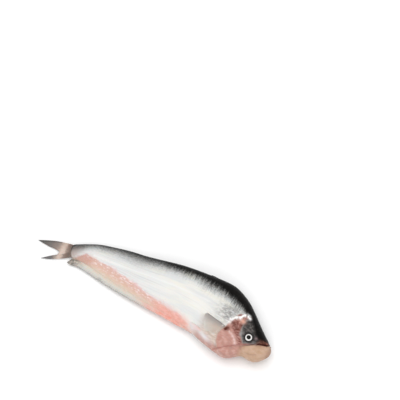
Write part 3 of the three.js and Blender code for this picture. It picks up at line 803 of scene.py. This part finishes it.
def make_eye(side, name, node):
    step = 0.5
    slope_x = (flank(EYE[0] + step, EYE[1], side) - flank(EYE[0] - step, EYE[1], side)) / (2 * step)
    slope_y = (flank(EYE[0], EYE[1] + step, side) - flank(EYE[0], EYE[1] - step, side)) / (2 * step)
    out = Vector((-slope_x, -slope_y, 1)).normalized() * side
    deselect()
    bpy.ops.mesh.primitive_uv_sphere_add(segments=48, ring_count=28, radius=1)
    eye = bpy.context.object
    ball = corners(eye)
    from_axis = np.hypot(ball[:, 0] + PUPIL_SHIFT, ball[:, 1])
    turn = np.array(Vector((0, 0, 1)).rotation_difference(out).to_matrix())
    lens = ball * (EYE_RADIUS, EYE_RADIUS, EYE_DEPTH)
    lens[:, 2] += CORNEA * (ball[:, 2] > 0) * (1 - smoothstep(0, 0.9, from_axis))
    centre = np.array([EYE[0], EYE[1], float(flank(EYE[0], EYE[1], side))]) - np.array(out) * SUNK
    put(eye, to_row(lens @ turn.T + centre))
    faces_out(eye)
    mark(eye, "from_axis", np.where(ball[:, 2] > -0.2, from_axis, 1.0))
    dress(eye, name, eye_finish, node)


make_eye(1, "upper_eye", "eye_right")
make_eye(-1, "lower_eye", "eye_left")

# %% [markdown]
# ## The fins
# Each fin is a thin web stretched over many soft rays. A flat grid is laid out between the root and
# the free edge, given a wall by Solidify, and then thickened where each ray runs. The grid stores how
# far across the rays and how far out each place is, so that colour and relief follow the rays.


# %% A fin from a grid
def make_fin(columns, rows, place, thickness, rays, branch=0.55, uneven=0.5):
    """place(across, reach) is the fin's middle in fish axes; thickness(across, reach) is in millimetres."""
    deselect()
    bpy.ops.mesh.primitive_grid_add(x_subdivisions=columns, y_subdivisions=rows, size=1)
    fin = bpy.context.object
    flat = corners(fin)
    mark(fin, "across", flat[:, 0] + 0.5)
    mark(fin, "reach", flat[:, 1] + 0.5)
    put(fin, to_row(place(flat[:, 0] + 0.5, flat[:, 1] + 0.5)))
    apply(fin, "SOLIDIFY", thickness=0.0004, offset=0.0, use_even_offset=False)
    across, reach = (np.empty(len(fin.data.vertices), np.float32) for _ in range(2))
    fin.data.attributes["across"].data.foreach_get("value", across)
    fin.data.attributes["reach"].data.foreach_get("value", reach)
    core = np.cos(np.pi * rays * across) ** 2
    split = np.cos(np.pi * rays * across * 2) ** 2
    ray = core + (split - core) * smoothstep(branch, branch + 0.25, reach)
    middle_points = place(across, reach)
    wall = to_fish(corners(fin)) - middle_points
    wall /= np.maximum(np.linalg.norm(wall, axis=1), 1e-9)[:, None]
    half = thickness(across, reach) / 2 * (1 - uneven + uneven * ray)
    put(fin, to_row(middle_points + wall * half[:, None]))
    mark(fin, "ray", ray)
    faces_out(fin)
    return fin


def ray_edge(across, rays, cut):
    """The web between two rays is drawn in a little at the free edge."""
    return 1 - cut * np.sin(np.pi * rays * across) ** 2


# %% [markdown]
# The web of a fin is thinner than the skin and changes colour from root to edge, so its finish is a
# ramp along the mark "reach", with the rays a little paler. Each fin then gets its own stains, placed
# by the mark "across", which runs from its first ray to its last.


# %% A finish for a fin's web
def start_web(name, stops, ray_colour):
    """The colours from root to edge, and the rays over them. Returns the builder and the colour."""
    web = Finish(name, Roughness=0.4, Coat_Weight=0.05, Coat_Roughness=0.15, Specular_IOR_Level=0.2,
                 Subsurface_Weight=0.08, Subsurface_Scale=0.001)
    patches = web.noise((5, 3, 3), detail=3)
    colour = web.ramp(web.math("ADD", web.mark("reach"), web.swing(patches, 0.45)), stops)
    return web, web.stain(colour, "ray", web.band(patches, 0.3, 0.6, 0.25, 0.6), ray_colour)


def finish_web(web, colour, grain=1.0):
    """Gives the web its fine grain, so many millimetres wide."""
    return web.finish(Base_Color=colour, Normal=web.bump(web.noise((grain, grain, grain)), 0.0002, 0.3))


# %% Finish of the long anal fin
web, colour = start_web("long_fin_web", [
    (0.0, (0.62, 0.47, 0.37)), (0.3, (0.61, 0.53, 0.45)), (0.5, (0.57, 0.55, 0.50)),
    (0.8, (0.47, 0.465, 0.44)), (1.0, (0.24, 0.24, 0.235))], (0.60, 0.57, 0.52))
across = web.mark("across")
coral = web.band(web.noise((6, 3, 3), detail=3, shift=2.1), 0.4, 0.6)
coral = web.mix(coral, (0.73, 0.31, 0.25), (0.71, 0.42, 0.36))
in_front = web.times(web.band(across, 0.22, 0.5, 1, 0), web.band(across, 0, 0.14, 0.45, 1))
colour = web.mix(in_front, colour, coral)
smudge = web.band(web.noise((6, 3, 3), detail=3, roughness=0.6, shift=5.5), 0.52, 0.7, 0, 0.65)
smudge = web.times(smudge, web.times(web.band(across, 0.4, 0.6), web.band(web.mark("reach"), 0.35, 0.7)))
colour = web.mix(smudge, colour, (0.32, 0.32, 0.30))
brown = web.band(web.noise((2.6, 2, 2), detail=3, shift=6.3), 0.42, 0.6)
brown = web.mix(brown, (0.22, 0.18, 0.155), (0.46, 0.39, 0.33))
colour = web.mix(web.band(across, 0.86, 0.99, 0, 0.75), colour, brown)
# Painted shade: ragged near-black marks in the creases between the last folded rays at the rear end of the
# fin.
crease_shade = web.band(web.noise((1.6, 1.6, 1.6), detail=3, shift=1.9), 0.42, 0.58, 0, 0.85)
colour = web.mix(web.times(web.band(across, 0.93, 0.98), crease_shade), colour, (0.13, 0.12, 0.10))
long_fin_finish = finish_web(web, colour, grain=1.2)

# %% Finish of the tail fin
web, colour = start_web("tail_fin_web", [(0.0, (0.40, 0.31, 0.26)), (1.0, (0.34, 0.27, 0.23))],
                        (0.44, 0.35, 0.30))
across = web.mark("across")
out = web.math("ADD", web.mark("out"), web.swing(web.noise((2.5, 2.5, 2.5), detail=3, shift=8.1), 0.2))
zones = web.ramp(out, [
    (0.0, (0.25, 0.19, 0.16)), (0.06, (0.27, 0.20, 0.17)), (0.12, (0.34, 0.255, 0.215)),
    (0.18, (0.56, 0.45, 0.39)), (0.25, (0.58, 0.46, 0.40)), (0.34, (0.36, 0.285, 0.245)),
    (0.46, (0.225, 0.18, 0.162)), (0.62, (0.15, 0.125, 0.12)), (0.8, (0.105, 0.10, 0.095)),
    (1.0, (0.06, 0.058, 0.056))])
colour = web.mix(0.94, colour, zones)
pale_fan = web.times(web.band(out, 0.1, 0.2), web.band(out, 0.36, 0.24, 0, 0.4))
colour = web.stain(colour, "ray", pale_fan, (0.68, 0.57, 0.49))
lower_lobe = web.times(web.band(across, 0.52, 0.7), web.band(out, 0.28, 0.5, 0, 0.85))
colour = web.mix(lower_lobe, colour, (0.145, 0.145, 0.15))
from_middle = web.math("ABSOLUTE", web.math("SUBTRACT", across, 0.5))
lobe_edge = web.times(web.band(from_middle, 0.42, 0.5, 0, 0.75), web.band(out, 0.25, 0.5))
colour = web.mix(lobe_edge, colour, (0.05, 0.045, 0.042))
tail_fin_finish = finish_web(web, colour)

# %% Finishes of the paired fins
web, colour = start_web("side_fin_web", [
    (0.0, (0.44, 0.34, 0.28)), (0.45, (0.46, 0.38, 0.325)), (0.8, (0.53, 0.49, 0.45)),
    (1.0, (0.64, 0.63, 0.61))], (0.50, 0.43, 0.37))
across = web.mark("across")
dusk = web.times(web.band(across, 0.06, 0.62, 0.9, 0), web.band(web.mark("reach"), 0.6, 1.0, 1, 0.75))
colour = web.mix(dusk, colour, (0.27, 0.245, 0.235))
colour = web.mix(web.band(across, 0.015, 0.055, 0.8, 0), colour, (0.12, 0.105, 0.095))
side_fin_finish = finish_web(web, colour)

web, colour = start_web("pelvic_fin_web", [
    (0.0, (0.66, 0.45, 0.41)), (0.5, (0.69, 0.56, 0.55)), (1.0, (0.69, 0.64, 0.64))], (0.68, 0.58, 0.56))
pelvic_fin_finish = finish_web(web, colour)

# %% [markdown]
# The long anal fin has more than sixty rays that lean back. It starts behind the belly and runs to the
# tail fin, low in front and higher behind, and its edge hangs down towards the table.

# %% The long anal fin
ANAL_RAYS = 66
ANAL_START, ANAL_SPAN = 0.345, 0.64
RAY_LEAN, EDGE_HANG, SUNK_ROOT = 0.5, 0.3, 0.9
anal_height = curve_through([0, 0.05, 0.12, 0.7, 0.9, 0.97, 1], [0.0, 0.9, 1.9, 4.4, 4.8, 5.8, 5.0])


def anal_place(across, reach):
    base = skin_point(ANAL_START + ANAL_SPAN * across, np.full_like(across, math.pi))
    ripple = 0.18 * np.sin(across * 91) * reach + 0.12 * np.sin(across * 37 + 1)
    out = -SUNK_ROOT + reach * (anal_height(across) + 1.2) * ray_edge(across, ANAL_RAYS, 0.05 * reach)
    x = base[:, 0] - np.maximum(out, 0) * RAY_LEAN
    z = base[:, 2] - reach * EDGE_HANG * np.maximum(base[:, 2] - 1, 0) + ripple
    return np.stack([x, base[:, 1] - out, z], axis=-1)


def anal_thickness(across, reach):
    return 1.25 - 0.95 * reach


fin = make_fin(6 * ANAL_RAYS, 10, anal_place, anal_thickness, ANAL_RAYS, branch=0.8)
dress(fin, "long_anal_fin", long_fin_finish, "anal_fin")

# %% [markdown]
# The tail fin is forked. Its rays fan out from the rounded end of the stalk into two lobes, the upper
# one longer, and split in two halfway out.

# %% The tail fin
TAIL_RAYS, TAIL_LENGTH, TIP_HEIGHT = 17, 28.0, 0.56
FORK = np.array([(1.0, 0.55), (0.775, 0.29), (0.61, 0.13), (0.44, 0.0), (0.33, -0.17),
                 (0.4, -0.42), (0.57, -0.52), (0.71, -0.65), (0.85, -0.78)])
fork_out = curve_through(np.linspace(0, 1, 9), FORK[:, 0])
fork_across = curve_through(np.linspace(0, 1, 9), FORK[:, 1])
droop = math.radians(TAIL_DROOP)


def tail_place(across, reach):
    up, down = section(np.full_like(across, 0.985))[1:3]
    depth, root = up + down, (0.5 - across) * 0.84
    bow = np.sin(np.pi * reach) * 0.22 * (0.5 - across)
    start = -1.2 - STALK_END_RADIUS * (1 - np.sqrt(1 - (2 * root) ** 2))
    tip = fork_out(across) * ray_edge(across, TAIL_RAYS * 2, 0.03)
    a = start + (tip * TAIL_LENGTH - start) * reach
    b = (root + (fork_across(across) - root) * reach + bow) * depth
    height = middle(np.ones_like(across))
    wave = 0.25 * np.sin(across * 14) * reach ** 2
    x = -LENGTH - a * math.cos(droop) - b * math.sin(droop)
    y = level_share(1.0) * DEPTH - a * math.sin(droop) + b * math.cos(droop)
    z = np.maximum(height + (TIP_HEIGHT - height) * np.maximum(a, 0) / TAIL_LENGTH + wave, 0.3)
    return np.stack([x, y, z], axis=-1)


def tail_thickness(across, reach):
    return 2.2 - 1.75 * smoothstep(0, 0.7, reach)


fin = make_fin(12 * TAIL_RAYS, 36, tail_place, tail_thickness, TAIL_RAYS)
mark(fin, "out", (-LENGTH - to_fish(corners(fin))[:, 0]) / (TAIL_LENGTH * math.cos(droop)))
dress(fin, "forked_tail_fin", tail_fin_finish, "tail_fin")

# %% [markdown]
# The paired fins lie folded on the flanks. The pectoral fin behind the gill cover is a fan whose
# first ray is a stiff dark spine. The pelvic fins under it are small. Each is laid on the skin, its
# root sunk in it and its free edge a little clear.


# %% The paired fins
LIFT, LOWEST_WEB = 0.24, 0.45


def side_fan(side, root, angles, length, shorten, root_width, rays):
    """A fan on the flank: its root in shares of the body, its first and last ray's angle, its size."""
    def place(across, reach):
        angle = np.radians(angles[0] + (angles[1] - angles[0]) * across)
        rounded = 1 - shorten * across ** 1.5 - 0.1 * bump(across, 0.07)
        out = -1.2 + reach * (length + 1.2) * rounded * ray_edge(across, rays * 2, 0.03 * reach)
        sideways = (0.5 - across) * root_width
        x = root[0] * -LENGTH - out * np.cos(angle) - sideways * np.sin(angle)
        y = root[1] * DEPTH + out * np.sin(angle) + sideways * np.cos(angle)
        along = np.clip(-x / LENGTH, 0, 1)
        level, up, down = section(along)[:3]
        y_in = np.clip(y, level - down * 0.985, level + up * 0.985)
        clear = -0.35 + (LIFT + 0.35) * smoothstep(0, 0.3, reach) - (LIFT + 0.16) * smoothstep(0.72, 1, reach)
        clear -= 0.2 * smoothstep(0.8, 1, across)
        z = flank(x, y_in, side) + side * clear
        if side < 0:
            z = np.maximum(np.minimum(z, middle(np.zeros_like(z))), LOWEST_WEB)
        return np.stack([x, y, z], axis=-1)
    return place


def spine_thickness(across, reach):
    return (0.5 + 0.45 * bump(across, 0.05)) * (1.1 - 0.85 * reach)


PAIRED = [
    ("upper_pectoral_fin", "pectoral_fin_right", 1, (0.226, -0.118), (11.5, -17), 20.5, 0.34, 7.0, 11),
    ("lower_pectoral_fin", "pectoral_fin_left", -1, (0.24, -0.32), (12, -2), 18.5, 0.27, 3.0, 11),
    ("upper_pelvic_fin", "pelvic_fin_right", 1, (0.315, -0.255), (12, -4), 11.0, 0.35, 2.0, 6),
    ("lower_pelvic_fin", "pelvic_fin_left", -1, (0.37, -0.235), (8, -4), 11.0, 0.35, 2.0, 6),
]
for name, node, side, root, angles, length, shorten, root_width, rays in PAIRED:
    place = side_fan(side, root, angles, length, shorten, root_width, rays)
    fin = make_fin(rays * 8, 20, place, spine_thickness, rays)
    dress(fin, name, side_fin_finish if "pectoral" in name else pelvic_fin_finish, node)

# %% [markdown]
# The dorsal fin is only a few short rays, folded flat along the ridge of the back.


# %% The folded dorsal fin
DORSAL_START, DORSAL_RAYS = 0.34, 5


def dorsal_place(across, reach):
    back = across * 4 + reach * 8 * (1 - across * 0.3)
    x = -DORSAL_START * LENGTH - back
    along = -x / LENGTH
    crest = skin_point(along, np.zeros_like(along))
    rise = 0.9 * (1 - across * 0.75) * np.sin(reach * math.pi / 2)
    return np.stack([x, crest[:, 1] - 0.5 + rise, crest[:, 2] + 0.1 * np.sin(across * 6)], axis=-1)


back_web = Finish("dark_back_fin", Roughness=0.45, Specular_IOR_Level=0.14)
black = back_web.band(back_web.noise((2, 1, 1)), 0.4, 0.7)
black = back_web.mix(black, (0.008, 0.007, 0.006), (0.05, 0.045, 0.04))
dorsal_finish = back_web.finish(Base_Color=black)
fin = make_fin(8 * DORSAL_RAYS, 16, dorsal_place, lambda across, reach: 1.0 - 0.6 * reach, DORSAL_RAYS)
dress(fin, "folded_dorsal_fin", dorsal_finish, "dorsal_fin")

# %% [markdown]
# ## The barbels
# The whiskers of a catfish are limp and taper to a thread. A curve with a round profile is the
# simplest tapering tube. It is laid on the cheek and turned into a mesh, so that its place is in it.

# %% Barbel finish
whisker = Finish("barbel_skin", Roughness=0.4, Coat_Weight=0.1, Coat_Roughness=0.15, Specular_IOR_Level=0.25)
colour = whisker.band(whisker.noise((2.5, 1.5, 1.5), detail=3), 0.4, 0.65)
colour = whisker.mix(colour, (0.38, 0.19, 0.15), (0.50, 0.29, 0.235))
colour = whisker.mix(whisker.band(whisker.mark("reach"), 0.15, 0.5, 0.85, 0), colour, (0.07, 0.045, 0.035))
whisker_finish = whisker.finish(Base_Color=whisker.mix(whisker.mark("chin"), colour, (0.47, 0.32, 0.225)))


# %% Make the four barbels
def make_barbel(name, node, side, thick, places, on_chin=0.0):
    """thick is the diameter at the root; on_chin takes the barbel's colour towards the chin's."""
    t = np.linspace(0, 1, 49)
    s = np.linspace(0, 1, len(places))
    x = -curve_through(s, [p[0] for p in places])(t) * LENGTH
    y = curve_through(s, [p[1] for p in places])(t) * DEPTH
    radius = thick / 2 * (1 - 0.6 * t)
    z = flank(x, y, side) + side * (radius * 0.5 + 0.1)
    z = np.maximum(z, radius + 0.05)
    points = to_row(np.stack([x, y, z], axis=-1))
    line = bpy.data.curves.new(name, "CURVE")
    line.dimensions, line.bevel_depth, line.bevel_resolution, line.use_fill_caps = "3D", thick / 2000, 4, True
    spline = line.splines.new("POLY")
    spline.points.add(len(points) - 1)
    for point, place, r in zip(spline.points, points, radius):
        point.co, point.radius = (*place, 1), r / (thick / 2)
    barbel = bpy.data.objects.new(name, line)
    bpy.context.collection.objects.link(barbel)
    only(barbel)
    bpy.ops.object.convert(target="MESH")
    barbel = bpy.context.object
    faces_out(barbel)
    reach = x[0] - to_fish(corners(barbel))[:, 0]
    mark(barbel, "reach", np.maximum(reach / reach.max(), on_chin))
    mark(barbel, "chin", np.full(len(reach), on_chin))
    dress(barbel, name, whisker_finish, node)


# Each line is a run of places, as shares of the fish's length and depth.
CHEEK = [(0.056, -0.036), (0.076, -0.098), (0.098, -0.155), (0.121, -0.205),
         (0.15, -0.265), (0.178, -0.325), (0.204, -0.365), (0.226, -0.38)]
UNDER = [(0.056, -0.036), (0.08, -0.12), (0.105, -0.2), (0.135, -0.27),
         (0.17, -0.325), (0.2, -0.345), (0.23, -0.355)]
CHIN = [(0.05, -0.225), (0.068, -0.25), (0.085, -0.262), (0.102, -0.265)]
make_barbel("upper_barbel", "barbel_right", 1, 0.8, CHEEK)
make_barbel("lower_barbel", "barbel_left", -1, 0.8, UNDER)
make_barbel("upper_chin_barbel", "chin_barbel_right", 1, 0.6, CHIN, 0.85)
make_barbel("lower_chin_barbel", "chin_barbel_left", -1, 0.6, CHIN, 0.85)

# %% [markdown]
# ## Floor, light and camera
# A plain white floor, one large soft light overhead and a wide fill keep the shadows pale.

# %% The floor
deselect()
bpy.ops.mesh.primitive_plane_add(size=6)
floor = bpy.context.object
floor.name = "floor"
ground = Finish("white_floor", Roughness=0.7)
white = ground.band(ground.noise((60, 60, 60)), 0.4, 0.6)
white = ground.mix(white, (0.94, 0.94, 0.94), (0.96, 0.96, 0.96))
floor.data.materials.append(ground.finish(Base_Color=white))


# %% The lights
def softbox(name, place, size, watts, aim=(0, 0, 0)):
    lamp = bpy.data.lights.new(name, "AREA")
    lamp.shape, lamp.size, lamp.energy = "SQUARE", size, watts
    made = bpy.data.objects.new(name, lamp)
    bpy.context.collection.objects.link(made)
    made.location = place
    made.rotation_euler = (Vector(aim) - Vector(place)).to_track_quat("-Z", "Y").to_euler()
    print(f"{name}: {watts} W from a square of {size} m")


softbox("overhead", (-0.1, 0.1, 1.0), 0.8, 5)
softbox("front_fill", (0.35, -0.9, 0.7), 0.8, 3)
world = bpy.data.worlds.new("studio")
bpy.context.scene.world = world
world.use_nodes = True
background = world.node_tree.nodes["Background"]
background.inputs["Color"].default_value = (1, 1, 1, 1)
background.inputs["Strength"].default_value = 0.72
bpy.context.scene.view_settings.view_transform = "Standard"
print("world strength:", background.inputs["Strength"].default_value)

# %% The camera
azimuth, elevation, distance = math.radians(27.2), math.radians(73), 1.5
AIM_RIGHT, AIM_ABOVE = 0.0349, 0.0689
flat = math.cos(elevation)
towards = Vector((math.sin(azimuth) * flat, -math.cos(azimuth) * flat, math.sin(elevation)))
right = Vector((math.cos(azimuth), math.sin(azimuth), 0))
above = towards.cross(right)
centre = (CAD_BOX[0] + CAD_BOX[1]) / 2
camera = bpy.data.objects.new("camera", bpy.data.cameras.new("camera"))
bpy.context.collection.objects.link(camera)
bpy.context.scene.camera = camera
camera.location = centre + towards * distance
forward = (centre + right * AIM_RIGHT + above * AIM_ABOVE - camera.location).normalized()
side = (right - forward * right.dot(forward)).normalized()
camera.rotation_euler = Matrix((side, side.cross(forward), -forward)).transposed().to_euler()
camera.data.lens = 166.2
camera.data.clip_start, camera.data.clip_end = 0.1, 20
print("camera", [round(v, 3) for v in camera.location])
